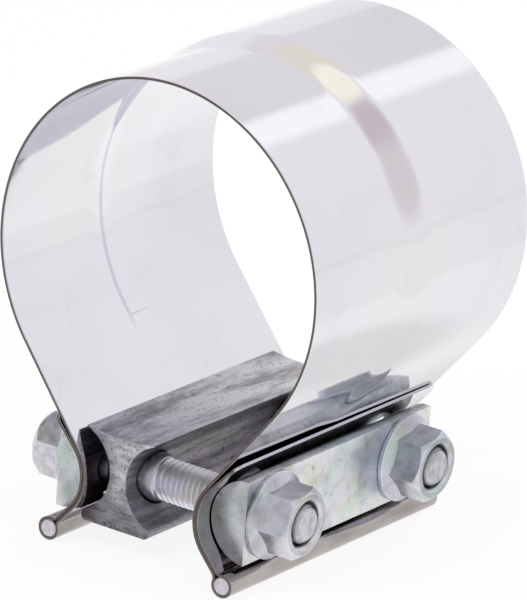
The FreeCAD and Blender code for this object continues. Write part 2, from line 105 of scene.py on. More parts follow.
AXIS_Z = ROD_DROP + ROD_RADIUS + ROD_PLAY + SHEET     # bolt axes above the floor
EAR_X = BAR_FACE - BAR_DEPTH + BAR_RADIUS             # centre of an ear's curve
EAR_INNER = BAR_RADIUS + BAR_SHIFT + BAR_PLAY         # inside of the hem round the bar
ROD_X = EAR_X - ROD_INSET

SAME_POINT = 0.02             # points nearer than this are one
SIDE_BODY = {1: "nut_side", -1: "head_side"}

# ------------------------------------------------------------------ mesh helpers

scene = bpy.context.scene


def link(name, mesh):
    made = bpy.data.objects.new(name, mesh)
    scene.collection.objects.link(made)
    return made


def mesh_object(name, vertices, faces):
    """Object from vertices in millimetres, with its normals made consistent."""
    mesh = bpy.data.meshes.new(name)
    mesh.from_pydata([tuple(c * MM for c in v) for v in vertices], [], faces)
    work = bmesh.new()
    work.from_mesh(mesh)
    bmesh.ops.recalc_face_normals(work, faces=work.faces)
    work.to_mesh(mesh)
    work.free()
    return link(name, mesh)


def apply_modifier(piece, modifier):
    """Replaces the piece's mesh by what its modifier makes of it."""
    graph = bpy.context.evaluated_depsgraph_get()
    done = bpy.data.meshes.new_from_object(piece.evaluated_get(graph), depsgraph=graph)
    piece.modifiers.remove(modifier)
    old = piece.data
    piece.data = done
    bpy.data.meshes.remove(old)


def cut(piece, tool, operation="DIFFERENCE"):
    """Boolean with a tool object, which is used up."""
    modifier = piece.modifiers.new("cut", "BOOLEAN")
    modifier.operation = operation
    modifier.solver = "EXACT"
    modifier.object = tool
    bpy.context.view_layer.update()
    apply_modifier(piece, modifier)
    bpy.data.objects.remove(tool)


def round_edges(piece, width, angle=30.0, segments=2):
    """Rounds the sharp edges; the rounded faces take the piece's last material."""
    modifier = piece.modifiers.new("round", "BEVEL")
    modifier.material = len(piece.data.materials) - 1
    modifier.width = width * MM
    modifier.segments = segments
    modifier.limit_method = "ANGLE"
    modifier.angle_limit = math.radians(angle)
    modifier.harden_normals = False
    modifier.use_clamp_overlap = True
    bpy.context.view_layer.update()
    apply_modifier(piece, modifier)


def shade(piece, angle=30.0):
    for polygon in piece.data.polygons:
        polygon.use_smooth = True
    piece.data.set_sharp_from_angle(angle=math.radians(angle))


def prism(name, outline, low, high, along="Y"):
    """Outline drawn out along Y from (x, z) points, or along X from (y, z) points."""
    count = len(outline)
    if along == "Y":
        vertices = [(a, depth, b) for depth in (low, high) for a, b in outline]
    else:
        vertices = [(depth, a, b) for depth in (low, high) for a, b in outline]
    faces = [tuple(range(count)), tuple(range(2 * count - 1, count - 1, -1))]
    faces += [(k, (k + 1) % count, count + (k + 1) % count, count + k) for k in range(count)]
    return mesh_object(name, vertices, faces)


def turned(name, profile, y, z, segments=128):
    """Solid of revolution about a line along X; profile is (x, radius) from axis to axis."""
    vertices, rings = [], []
    for x, radius in profile:
        if radius == 0:
            rings.append([len(vertices)] * segments)
            vertices.append((x, y, z))
            continue
        rings.append(list(range(len(vertices), len(vertices) + segments)))
        for k in range(segments):
            angle = 2 * math.pi * k / segments
            vertices.append((x, y + radius * math.cos(angle), z + radius * math.sin(angle)))
    faces = []
    for ring, following in zip(rings, rings[1:]):
        for k in range(segments):
            face = [ring[k], ring[(k + 1) % segments],
                    following[(k + 1) % segments], following[k]]
            faces.append(tuple(dict.fromkeys(face)))
    return mesh_object(name, vertices, faces)


def drill_for_bolts(piece, radius):
    """Bores the piece along both bolt axes."""
    reach = BAR_FACE + 5.0
    profile = [(-reach, 0), (-reach, radius), (reach, radius), (reach, 0)]
    for y in (-BOLT_Y, BOLT_Y):
        cut(piece, turned("drill", profile, y, AXIS_Z, 96))


def polar(centre, radius, angle):
    return (centre[0] + radius * math.cos(angle), centre[1] + radius * math.sin(angle))


def arc_points(centre, radius, start, end, count):
    return [polar(centre, radius, start + (end - start) * k / count) for k in range(count + 1)]


# ------------------------------------------------------------------ materials


class Nodes:
    """Small wrapper for building one node tree."""

    def __init__(self, tree, where="Object"):
        self.tree = tree
        self.where = self.add("ShaderNodeTexCoord").outputs[where]

    def add(self, kind, **settings):
        node = self.tree.nodes.new(kind)
        for key, value in settings.items():
            setattr(node, key, value)
        return node

    def join(self, source, target):
        self.tree.links.new(source, target)

    def feed(self, source, socket):
        """Connects a socket, or sets its constant."""
        if isinstance(source, (int, float)):
            socket.default_value = source
        elif isinstance(source, tuple):
            socket.default_value = (*source, 1.0) if socket.type == "RGBA" else source
        else:
            self.join(source, socket)

    def stretched(self, scale, turn=(0.0, 0.0, 0.0)):
        mapping = self.add("ShaderNodeMapping")
        mapping.inputs["Scale"].default_value = scale
        mapping.inputs["Rotation"].default_value = turn
        self.join(self.where, mapping.inputs["Vector"])
        return mapping.outputs["Vector"]

    def noise(self, scale, detail=3.0, rough=0.5, vector=None, distortion=0.0):
        node = self.add("ShaderNodeTexNoise")
        node.inputs["Scale"].default_value = scale
        node.inputs["Detail"].default_value = detail
        node.inputs["Roughness"].default_value = rough
        node.inputs["Distortion"].default_value = distortion
        self.join(vector or self.where, node.inputs["Vector"])
        return node.outputs["Fac"]

    def ramp(self, source, *stops):
        node = self.add("ShaderNodeValToRGB")
        elements = node.color_ramp.elements
        while len(elements) < len(stops):
            elements.new(0.5)
        for element, (place, colour) in zip(elements, stops):
            element.position = place
            element.color = grey(colour) if isinstance(colour, float) else (*colour, 1.0)
        self.join(source, node.inputs["Fac"])
        return node.outputs["Color"]

    def between(self, source, low, high, at_low=0.0, at_high=1.0):
        """Smooth change from one value to the other as the source goes from low to high."""
        node = self.add("ShaderNodeMapRange", interpolation_type="SMOOTHSTEP")
        for name, value in (("From Min", low), ("From Max", high),
                            ("To Min", at_low), ("To Max", at_high)):
            node.inputs[name].default_value = value
        self.join(source, node.inputs["Value"])
        return node.outputs["Result"]

    def mix(self, share, first, second, kind="MIX"):
        node = self.add("ShaderNodeMix", data_type="RGBA", blend_type=kind)
        for source, index in ((share, 0), (first, 6), (second, 7)):
            self.feed(source, node.inputs[index])
        return node.outputs[2]

    def maths(self, operation, first, second=0.0):
        node = self.add("ShaderNodeMath", operation=operation)
        self.feed(first, node.inputs[0])
        self.feed(second, node.inputs[1])
        return node.outputs[0]

    def towards(self, direction):
        """How nearly the looked-up vector points along a direction, 1 at most."""
        node = self.add("ShaderNodeVectorMath", operation="DOT_PRODUCT")
        self.join(self.where, node.inputs[0])
        node.inputs[1].default_value = Vector(direction).normalized()
        return node.outputs["Value"]

    def parts(self, source):
        node = self.add("ShaderNodeSeparateXYZ")
        self.join(source, node.inputs[0])
        return node.outputs


class Metal(Nodes):
    """Metallic material built round a principled shader."""

    def __init__(self, name):
        self.material = bpy.data.materials.new(name)
        self.material.use_nodes = True
        super().__init__(self.material.node_tree)
        self.principled = self.tree.nodes["Principled BSDF"]
        self.principled.inputs["Metallic"].default_value = 1.0

    def facing(self):
        """Size of each part of the surface's true normal: x, y, z."""
        normal = self.add("ShaderNodeNewGeometry").outputs["True Normal"]
        node = self.add("ShaderNodeVectorMath", operation="ABSOLUTE")
        self.join(normal, node.inputs[0])
        return self.parts(node.outputs["Vector"])

    def from_bolt_axis(self):
        """Distance from the axis of the nearer bolt."""
        place = self.parts(self.where)
        side = self.maths("SUBTRACT", self.maths("ABSOLUTE", place["Y"]), BOLT_Y * MM)
        up = self.maths("SUBTRACT", place["Z"], AXIS_Z * MM)
        squares = (self.maths("MULTIPLY", part, part) for part in (side, up))
        return self.maths("SQRT", self.maths("ADD", *squares))

    def bump(self, source, strength, distance):
        node = self.add("ShaderNodeBump")
        node.inputs["Strength"].default_value = strength
        node.inputs["Distance"].default_value = distance
        self.join(source, node.inputs["Height"])
        previous = self.principled.inputs["Normal"].links
        if previous:
            self.join(previous[0].from_socket, node.inputs["Normal"])
        self.join(node.outputs["Normal"], self.principled.inputs["Normal"])

    def colour(self, source):
        self.feed(source, self.principled.inputs["Base Color"])

    def roughness(self, source):
        self.feed(source, self.principled.inputs["Roughness"])


def grey(value):
    return (value, value, value, 1.0)


def band_material():
    s = Metal("band_steel")
    tint = s.ramp(s.noise(14.0, 3.0, 0.5), (0.3, (0.84, 0.82, 0.86)), (0.5, (0.87, 0.86, 0.89)),
                  (0.72, (0.88, 0.86, 0.86)))
    smudge = s.ramp(s.noise(55.0, 6.0, 0.65, distortion=0.6), (0.30, 0.80), (0.42, 1.0))
    sheet = s.mix(0.25, tint, smudge, "MULTIPLY")
    marks = s.ramp(s.noise(240.0, 2.0, 0.5, s.stretched((0.25, 0.08, 1.6), (0.5, 0.3, 0.2))),
                   (0.252, 0.55), (0.275, 1.0))
    where_marked = s.between(s.noise(22.0, 2.0), 0.48, 0.62)
    sheet = s.mix(where_marked, sheet, s.mix(0.8, sheet, marks, "MULTIPLY"))
    # Colour of the lower flank, ear, hem and leaf: partly dull metal, partly painted shade.
    dull_and_shade_colour = s.ramp(s.noise(120.0, 4.0, 0.6, s.stretched((1.0, 0.3, 1.0))),
                 (0.3, (0.36, 0.32, 0.31)), (0.7, (0.60, 0.56, 0.55)))
    wear = s.add("ShaderNodeAttribute", attribute_name="wear").outputs["Fac"]
    sheet = s.mix(wear, sheet, dull_and_shade_colour)
    # Painted line of bluish shade inside the step; the sheet itself is not creased.
    crease_shade = s.add("ShaderNodeAttribute", attribute_name="crease_shade").outputs["Fac"]
    sheet = s.mix(crease_shade, sheet, s.mix(1.0, sheet, (0.76, 0.77, 0.87), "MULTIPLY"))
    edge = s.between(s.facing()["Y"], 0.5, 0.7)
    s.colour(s.mix(edge, sheet, (0.20, 0.165, 0.15)))
    haze = s.ramp(s.noise(38.0, 4.0), (0.35, 0.04), (0.7, 0.10))
    s.roughness(s.mix(edge, haze, (0.4, 0.4, 0.4)))
    s.bump(s.noise(9.0, 2.0, 0.4), 0.18, 0.0012)
    scratches = s.noise(90.0, 5.0, 0.7, s.stretched((3.0, 0.5, 3.0), (0.2, 0.1, 0.6)))
    s.bump(scratches, 0.05, 0.0002)
    return s.material


def rod_material():
    s = Metal("rod_steel")
    mottle = s.noise(900.0, 4.0, 0.6)
    s.colour(s.ramp(mottle, (0.3, (0.70, 0.66, 0.72)), (0.7, (0.95, 0.91, 0.98))))
    s.roughness(s.ramp(mottle, (0.3, 0.42), (0.7, 0.55)))
    s.bump(mottle, 0.2, 0.0001)
    return s.material


def block_material():
    """As extruded, with drawn lines and scratches along it; its sawn ends are pitted; its top faces
    are painted lighter, as lit from above.
    """
    s = Metal("block_aluminium")
    drawn = s.noise(420.0, 5.0, 0.65, s.stretched((1.0, 0.03, 1.0)))
    lines = s.ramp(drawn, (0.30, (0.22, 0.20, 0.21)), (0.46, (0.42, 0.40, 0.42)),
                   (0.70, (0.66, 0.64, 0.67)))
    patches = s.ramp(s.noise(130.0, 10.0, 0.75, s.stretched((1.0, 0.22, 1.0))),
                     (0.40, 0.24), (0.54, 1.0))
    scratch = s.ramp(s.noise(420.0, 4.0, 0.6, s.stretched((1.0, 0.05, 1.0), (0.0, 0.0, 0.25))),
                     (0.34, 0.30), (0.43, 1.0))
    skin = s.mix(0.5, s.mix(0.6, lines, patches, "MULTIPLY"), scratch, "MULTIPLY")
    height = s.parts(s.where)["Z"]
    facing = s.facing()
    # Painted light: faces looking up, above the bolt axes, are lighter.
    lit_top = s.maths("MULTIPLY", s.between(facing["Z"], 0.90, 0.97),
                    s.between(height, AXIS_Z * MM, (AXIS_Z + 8.0) * MM))
    lit_top_colour = s.mix(0.8, (0.98, 0.97, 1.0), s.mix(0.35, patches, scratch, "MULTIPLY"), "MULTIPLY")
    skin = s.mix(lit_top, skin, s.mix(0.25, lit_top_colour, lines))
    sawn = s.ramp(s.noise(500.0, 6.0, 0.7, s.stretched((0.35, 1.0, 1.0))),
                  (0.32, (0.34, 0.33, 0.35)), (0.50, (0.70, 0.68, 0.73)), (0.66, (0.98, 0.95, 1.0)))
    sawn = s.mix(1.0, sawn, s.mix(s.between(height, 7.0 * MM, (AXIS_Z + 2.0) * MM),
                                  (0.40, 0.39, 0.40), (1.0, 1.0, 1.0)), "MULTIPLY")
    pits = s.ramp(s.noise(900.0, 4.0, 0.7), (0.34, 0.12), (0.42, 1.0))
    end = s.between(facing["Y"], 0.5, 0.8)
    s.colour(s.mix(0.72, s.mix(end, skin, sawn), pits, "MULTIPLY"))
    s.roughness(s.ramp(drawn, (0.3, 0.38), (0.7, 0.52)))
    s.bump(drawn, 0.30, 0.0003)
    s.bump(pits, 0.5, 0.0002)
    return s.material


def edge_material(name, colour, rough):
    """Edge brighter than the faces beside it: partly rubbed, partly a painted highlight."""
    s = Metal(name)
    s.colour(colour)
    s.roughness(s.ramp(s.noise(700.0, 3.0), (0.3, rough), (0.7, rough + 0.15)))
    return s.material


def zinc_tint(s, level):
    """Zinc plate with its faint iridescence, in patches that drift into one another."""
    drift = s.noise(60.0, 3.0, 0.55, distortion=0.8)
    tones = ((0.34, (0.86, 0.98, 0.92)), (0.44, (0.95, 0.97, 1.06)), (0.53, (1.02, 0.99, 1.07)),
             (0.62, (0.98, 0.96, 0.88)), (0.72, (0.88, 0.99, 1.02)))
    return s.ramp(drift, *((place, tuple(level * c for c in tone)) for place, tone in tones))


def zinc_shader(name, level, mottle_scale, depth):
    """Plated surface: its shader, and its colour for the material to use."""
    s = Metal(name)
    speck = s.ramp(s.noise(mottle_scale, 6.0, 0.7), (0.30, 0.30), (0.42, 1.0))
    broad = s.ramp(s.noise(110.0, 5.0, 0.6), (0.34, 0.58), (0.56, 1.0))
    plated = s.mix(0.8, zinc_tint(s, level), broad, "MULTIPLY")
    s.roughness(s.ramp(s.noise(300.0, 4.0), (0.3, 0.24), (0.7, 0.36)))
    s.bump(s.noise(mottle_scale, 5.0, 0.6), 0.20, 0.0002)
    return s, s.mix(depth, plated, speck, "MULTIPLY")


def bar_material():
    """Plated bar, a little greener than the nuts."""
    s, plated = zinc_shader("bar_zinc", 0.85, 420.0, 0.70)
    s.colour(s.mix(1.0, plated, (0.97, 1.0, 0.955), "MULTIPLY"))
    return s.material


def nut_material():
    """Plated nut, its end faces painted darker as shade, with painted shade in the mouth of its
    thread.
    """
    s, plated = zinc_shader("nut_zinc", 0.78, 600.0, 0.40)
    # End faces painted darker, as shade.
    shaded_end_face = s.between(s.facing()["X"], 0.80, 0.97)
    plated = s.mix(shaded_end_face, plated, s.mix(1.0, plated, (0.80, 0.81, 0.81), "MULTIPLY"))
    # Painted shade in the mouth of the thread.
    shaded_mouth = s.between(s.from_bolt_axis(), (BOLT_RADIUS + 0.2) * MM, (BOLT_RADIUS + 0.7) * MM, 1.0, 0.0)
    s.colour(s.mix(shaded_mouth, plated, (0.05, 0.05, 0.05)))
    return s.material


def bolt_material():
    """Plated bolt: rough forged head, shank and rough end painted darker as shade, bright thread,
    painted shade on the end chamfer.
    """
    s = Metal("bolt_zinc")
    skin = s.noise(320.0, 6.0, 0.65)
    rough_skin = s.ramp(skin, (0.3, 0.40), (0.6, 1.0))
    along = s.parts(s.where)["X"]
    # Past the head the shank is painted darker, as the shade it lies in within the bar and block.
    shank = s.between(along, -BAR_FACE * MM, (2.0 - BAR_FACE) * MM)
    head_and_shaded_shank = s.mix(shank, zinc_tint(s, 0.90), zinc_tint(s, 0.56))
    head_and_shaded_shank = s.mix(0.6, head_and_shaded_shank, rough_skin, "MULTIPLY")
    threaded = s.between(along, (SHANK_END - 1.0) * MM, SHANK_END * MM)
    plated = s.mix(threaded, head_and_shaded_shank, zinc_tint(s, 0.92))
    # The end is painted greyer, as shade, over its rough skin; its chamfer is painted dark with shade.
    end = s.between(along, (BAR_FACE + 8.0) * MM, (BAR_FACE + 10.0) * MM)
    plated = s.mix(end, plated, s.mix(0.7, (0.72, 0.72, 0.75), rough_skin, "MULTIPLY"))
    rim = s.between(s.from_bolt_axis(), (BOLT_RADIUS - 1.4) * MM, (BOLT_RADIUS - 0.2) * MM)
    s.colour(s.mix(s.maths("MULTIPLY", end, rim), plated, (0.07, 0.07, 0.07)))
    s.roughness(s.ramp(skin, (0.3, 0.32), (0.7, 0.46)))
    s.bump(skin, 0.30, 0.0004)
    return s.material


MATERIALS = {
    "band": band_material(),
    "rod": rod_material(),
    "block": block_material(),
    "bar": bar_material(),
    "nut": nut_material(),
    "bolt": bolt_material(),
    "zinc_edge": edge_material("zinc_edge", (0.98, 1.0, 1.0), 0.22),
    "block_edge": edge_material("block_edge", (0.74, 0.72, 0.77), 0.35),
}


def paint(piece, *materials):
    for material in materials:
        piece.data.materials.append(MATERIALS[material])


def finish_piece(piece, body, node):
    """Puts the piece in a CAD node's place; a piece given no body is not attached to one."""
    if body:
        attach(piece, body)
    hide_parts(node)


# ------------------------------------------------------------------ band


# One point of the sheet's middle line: its place, the direction outwards, how far it is below
# the hem's free edge where it is in the hem's leaf, and how much dullness and painted shade it takes
# there.
Station = namedtuple("Station", "x z out_x out_z left wear")


def band_path(radius, bore_height, hem_angle):
    """Middle line of the band's nut-side half, from the crown to the hem's free edge."""
    half = SHEET / 2
    bore, ear, rod = (0.0, bore_height), (EAR_X, 0.0), (ROD_X, -ROD_DROP)
    outer_layer = EAR_INNER + SHEET + LAYER_GAP + half
    hem_layer = EAR_INNER + half
    reach = math.hypot(ear[0], bore_height)
    flank = (math.atan2(-bore_height, ear[0])
             + math.acos((radius + half + outer_layer) / reach))
    to_rod = (rod[0] - ear[0], rod[1] - ear[1])
    pair_radius = EAR_INNER + SHEET + LAYER_GAP / 2
    together = (math.atan2(to_rod[1], to_rod[0])
                + math.asin(pair_radius / math.hypot(*to_rod)))
    foot = together - math.pi / 2
    spacing = ROD_RADIUS + ROD_PLAY + SHEET + THROAT
    lateral = LAYER_GAP / 2 + SHEET + THROAT
    tilt = math.atan2(lateral, math.sqrt(spacing ** 2 - lateral ** 2))
    back = together + math.pi
    band_throat = polar(rod, spacing, back + tilt)
    hem_throat = polar(rod, spacing, back - tilt)
    leaf_foot = polar(ear, hem_layer, hem_angle + math.pi / 2)
    leaf_length = (HEM_HEIGHT - leaf_foot[1]) / math.sin(hem_angle)
    points = []

    def arc(centre, size, start, end, outward, count, dull_and_shade_ends=(0.0, 0.0)):
        for k in range(count + 1):
            angle = start + (end - start) * k / count
            x, z = polar(centre, size, angle)
            wear = dull_and_shade_ends[0] + (dull_and_shade_ends[1] - dull_and_shade_ends[0]) * k / count
            points.append(Station(x, z, outward * math.cos(angle), outward * math.sin(angle),
                                  None, wear))

    def line(end, count, dull_and_shade_ends=(1.0, 1.0), leaf=False):
        x, z, out_x, out_z = points[-1][:4]
        length = math.hypot(end[0] - x, end[1] - z)
        for k in range(1, count + 1):
            share = k / count
            left = length * (1 - share) if leaf else None
            wear = dull_and_shade_ends[0] + (dull_and_shade_ends[1] - dull_and_shade_ends[0]) * share
            points.append(Station(x + (end[0] - x) * share, z + (end[1] - z) * share,
                                  out_x, out_z, left, wear))

    turn = 2 * math.pi
    arc(bore, radius + half, math.pi / 2, math.pi / 2 - math.radians(0.4), 1, 3)
    arc(bore, radius + half, math.pi / 2 - math.radians(1.0), flank, 1, 128)
    # Dullness and painted shade grow down the flank, are whole round the ear, rod and hem, and fade
    # out up the leaf.
    line(polar(ear, outer_layer, flank + math.pi), 22, (0.0, 0.7))
    arc(ear, outer_layer, flank + math.pi, foot + turn, -1, 27, (0.7, 1.0))
    line(polar(band_throat, THROAT + half, together + math.pi / 2), 4)
    arc(band_throat, THROAT + half, together + math.pi / 2, together + tilt, 1, 9, (1.0, 1.0))
    arc(rod, ROD_RADIUS + ROD_PLAY + half, back + tilt, back - tilt + turn, -1, 37, (1.0, 1.0))
    arc(hem_throat, THROAT + half, together - tilt, together - math.pi / 2, 1, 9, (1.0, 1.0))
    line(polar(ear, hem_layer, foot), 4)
    arc(ear, hem_layer, foot + turn, hem_angle + math.pi / 2, 1, 28, (1.0, 1.0))
    line(polar(leaf_foot, leaf_length, hem_angle), 23, (0.9, 0.0), leaf=True)
    kept = [points[0]]
    for point in points[1:]:
        if math.hypot(point.x - kept[-1].x, point.z - kept[-1].z) > SAME_POINT:
            kept.append(point)
    return kept


def smooth(share):
    share = min(max(share, 0.0), 1.0)
    return share * share * (3 - 2 * share)


def band_rows():
    """Stations across the band: (y, how far the surfaces draw in at the rounded edges)."""
    edge = 0.14
    rim = [(BAND_HALF_WIDTH, edge), (BAND_HALF_WIDTH - 0.05, edge * 0.4),
           (BAND_HALF_WIDTH - edge, 0.0), (BAND_HALF_WIDTH - 0.5, 0.0)]
    before = [-44, -38, -32, -26, -20, -15, -12.5]
    step = [STEP_START - 1.0 + (STEP_END - STEP_START + 2.0) * k / 18 for k in range(19)]
    after = [4.5, 8, 14, 20, 26, 32, 38, 44]
    return ([(-y, inset) for y, inset in rim] + [(y, 0.0) for y in before + step + after]
            + rim[::-1])


def path_at(y):
    """The band's middle line at a place across it."""
    share = smooth((y - STEP_START) / (STEP_END - STEP_START))
    across = (y + BAND_HALF_WIDTH) / (2 * BAND_HALF_WIDTH)
    return band_path(SMALL_RADIUS + share * (LARGE_RADIUS - SMALL_RADIUS),
                     BORE_HEIGHT + share * LARGE_RISE, HEM_ANGLE + across * HEM_TWIST)


def narrowing(left):
    """Share of its width that the leaf keeps, in the round corners of its free edge."""
    if left is None or left > HEM_CORNER:
        return 1.0
    drop = HEM_CORNER - left
    return 1.0 - (HEM_CORNER - math.sqrt(HEM_CORNER ** 2 - drop ** 2)) / BAND_HALF_WIDTH


def strip(first, second):
    """Faces between two rows of vertices."""
    return [(first[k], first[k + 1], second[k + 1], second[k]) for k in range(len(first) - 1)]


def band_sheet(name, side):
    """Closed sheet, with its dullness and painted shade, and its painted line of crease shade, as
    attributes.
    """
    vertices, dull_and_shade_values, crease_shade_values, grids = [], [], [], []
    for face in (1, -1):
        grid = []
        for y, inset in band_rows():
            offset = face * (SHEET / 2 - inset)
            in_crease_shade = face < 0 and abs(y - CREASE_SHADE_LINE) < CREASE_SHADE_REACH
            row = []
            for at in path_at(y):
                row.append(len(vertices))
                vertices.append((side * (at.x + offset * at.out_x), y * narrowing(at.left),
                                 at.z + offset * at.out_z + AXIS_Z))
                # The outer face and the leaf take their dullness and painted shade whole; inside, it
                # fades out from 4 to 14 mm above the bolt axes.
                whole_dull_and_shade = face > 0 or at.left is not None
                dull_and_shade_values.append(at.wear if whole_dull_and_shade else at.wear * smooth((14.0 - at.z) / 10.0))
                crease_shade_values.append(smooth((at.z - 26.0) / 8.0) if in_crease_shade else 0.0)
            grid.append(row)
        grids.append(grid)
    outer, inner = grids
    faces = []
    for grid in grids:
        for row, following in zip(grid, grid[1:]):
            faces += strip(row, following)
    for end in (0, -1):
        faces += strip(outer[end], inner[end])
        faces += strip([row[end] for row in outer], [row[end] for row in inner])
    piece = mesh_object(name, vertices, faces)
    for attribute, values in (("wear", dull_and_shade_values), ("crease_shade", crease_shade_values)):
        piece.data.attributes.new(attribute, "FLOAT", "POINT").data.foreach_set("value", values)
    return piece


def slot_outline(y):
    radius = SLOT_WIDTH / 2
    rise = (SLOT_HEIGHT - SLOT_WIDTH) / 2
    return (arc_points((y, AXIS_Z + rise), radius, 0.0, math.pi, 24)
            + arc_points((y, AXIS_Z - rise), radius, math.pi, 2 * math.pi, 24))


def band_half(name, side):
    """One half of the band, between the crown and its ear."""
    piece = band_sheet(name, side)
    low, high = sorted((side * 10.0, side * (BAR_FACE + 3.0)))
    for y in (-BOLT_Y, BOLT_Y):
        cut(piece, prism("slot_cutter", slot_outline(y), low, high, along="X"))
    shade(piece, 40.0)
    paint(piece, "band")
    finish_piece(piece, None, "band")
    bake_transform(piece)


# ------------------------------------------------------------------ bars, block, rods


def make_rod(name, side):
    x = side * ROD_X
    chamfer = 0.25
    length = BAND_HALF_WIDTH
    profile = [(-length, 0), (-length, ROD_RADIUS - chamfer), (-length + chamfer, ROD_RADIUS),
               (length - chamfer, ROD_RADIUS), (length, ROD_RADIUS - chamfer), (length, 0)]
    piece = turned(name, profile, 0.0, 0.0, 48)
    turn = Matrix.Rotation(math.pi / 2, 4, "Z")
    place = Matrix.Translation((x * MM, 0.0, (AXIS_Z - ROD_DROP) * MM))
    piece.data.transform(place @ turn)
    shade(piece)
    paint(piece, "rod")
    finish_piece(piece, SIDE_BODY[side], name)


def bar_outline():
    """Nut-side bar's section about the bolt axis: flat outside, round inside."""
    top = math.asin((BAR_HALF_HEIGHT - BAR_SHIFT) / BAR_RADIUS)
    low = math.asin(-(BAR_HALF_HEIGHT + BAR_SHIFT) / BAR_RADIUS)
    centre = (EAR_X, BAR_SHIFT)
    round_side = arc_points(centre, BAR_RADIUS, math.pi - top, math.pi - low, 48)
    return round_side + [(BAR_FACE, -BAR_HALF_HEIGHT), (BAR_FACE, BAR_HALF_HEIGHT)]


def make_bar(name, side):
    low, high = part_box(name)
    outline = [(side * x, side * z + AXIS_Z) for x, z in bar_outline()]
    piece = prism(name, outline, low.y / MM, high.y / MM)
    drill_for_bolts(piece, BAR_HOLE_RADIUS)
    paint(piece, "bar", "zinc_edge")
    round_edges(piece, 0.40, 35.0, 3)
    shade(piece, 35.0)
    finish_piece(piece, SIDE_BODY[side], name)


def block_outline(half_width, half_height):
    """Section about the block's middle: dished top, a channel in each side, round feet."""
    centre = BLOCK_WEB / 2 + CHANNEL_RADIUS
    open_angle = math.acos((centre - half_width) / CHANNEL_RADIUS)
    channel = arc_points((centre, CHANNEL_RISE), CHANNEL_RADIUS, math.pi - open_angle,
                         math.pi + open_angle, 40)
    dish_radius = (half_width ** 2 + BLOCK_DISH ** 2) / (2 * BLOCK_DISH)
    dish_angle = math.asin(half_width / dish_radius)
    top = arc_points((0.0, half_height - BLOCK_DISH + dish_radius), dish_radius,
                     -math.pi / 2 - dish_angle, -math.pi / 2 + dish_angle, 16)
    foot = arc_points((half_width - BLOCK_CORNER, BLOCK_CORNER - half_height), BLOCK_CORNER,
                      0.0, -math.pi / 2, 8)
    side = channel + foot
    return top + side + [(-x, z) for x, z in reversed(side)]


def make_block():
    low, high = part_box("reaction_block")
    middle, half = (low + high) / 2 / MM, (high - low) / 2 / MM
    outline = [(x + middle.x, z + middle.z) for x, z in block_outline(half.x, half.z)]
    piece = prism("reaction_block", outline, low.y / MM, high.y / MM)
    drill_for_bolts(piece, BLOCK_HOLE_RADIUS)
    paint(piece, "block", "block_edge")
    round_edges(piece, 0.22, 32.0, 2)
    shade(piece, 30.0)
    finish_piece(piece, "block", "reaction_block")


# ------------------------------------------------------------------ bolts and nuts


def hexagon_head(name, seat, outer, y, turn, chamfer, flange_rim, flange_cone):
    """Chamfered hexagon over a conical flange, between x = seat and x = outer."""
    way = 1 if outer > seat else -1
    flat, corner = HEX_FLATS / 2, HEX_FLATS / math.sqrt(3)
    face = flat - 0.25
    corners = [polar((y, AXIS_Z), corner, turn + math.radians(90 + 60 * k)) for k in range(6)]
    piece = prism(name, corners, seat + way * 0.5, outer, along="X")
    slope = math.tan(math.radians(30))
    reach = corner + 2.0
    cap = turned("cap", [
        (seat, 0), (seat, reach), (outer - way * (reach - face) * slope * chamfer, reach),
        (outer, face), (outer, 0)], y, AXIS_Z, 192)
    cut(piece, cap, "INTERSECT")
    skirt = turned("skirt", [
        (seat, 0), (seat, FLANGE_RADIUS - 0.3), (seat + way * 0.3, FLANGE_RADIUS),
        (seat + way * flange_rim, FLANGE_RADIUS),
        (seat + way * (flange_rim + 0.25), FLANGE_RADIUS - 0.3),
        (seat + way * flange_cone, flat - 0.4), (seat + way * flange_cone, 0)], y, AXIS_Z, 192)
    cut(piece, skirt, "UNION")
    return piece


def thread(name, start, end, y, chamfer):
    """Outside thread about the bolt axis, from x = start to x = end, as a sheared grid
    whose crests follow the helix."""
    around, per_turn = 72, 8
    shape = (0.0, 0.0, 0.35, 0.7, 1.0, 1.0, 0.7, 0.35)      # share of depth below the crest
    turns = math.ceil((end - start) / PITCH) + 2
    rows = turns * per_turn + 1
    vertices = []
    for row in range(rows):
        below = shape[row % per_turn] * THREAD_DEPTH
        for k in range(around):
            share = k / around
            x = start + PITCH * (row / per_turn - 1 + share)
            x = min(max(x, start), end)
            radius = BOLT_RADIUS - below
            lead = BOLT_RADIUS - chamfer + (end - x)
            run_out = BOLT_RADIUS - THREAD_DEPTH * smooth((x - start) / PITCH)
            radius = max(min(radius, lead), min(run_out, lead) if x < start + PITCH else 0.0)
            angle = 2 * math.pi * share
            vertices.append((x, y + radius * math.cos(angle), AXIS_Z + radius * math.sin(angle)))
    faces = []
    for row in range(rows - 1):
        base = row * around
        for k in range(around):
            if k < around - 1:
                faces.append((base + k, base + k + 1, base + around + k + 1, base + around + k))
            elif row + per_turn + 1 < rows:
                ahead = base + per_turn * around
                faces.append((base + k, ahead, ahead + around, base + around + k))
    return mesh_object(name, vertices, faces)


def join(pieces, name):
    """One object from several closed shells."""
    work = bmesh.new()
    for piece in pieces:
        work.from_mesh(piece.data)
        bpy.data.objects.remove(piece)
    bmesh.ops.remove_doubles(work, verts=work.verts, dist=1e-7)
    mesh = bpy.data.meshes.new(name)
    work.to_mesh(mesh)
    work.free()
    return link(name, mesh)


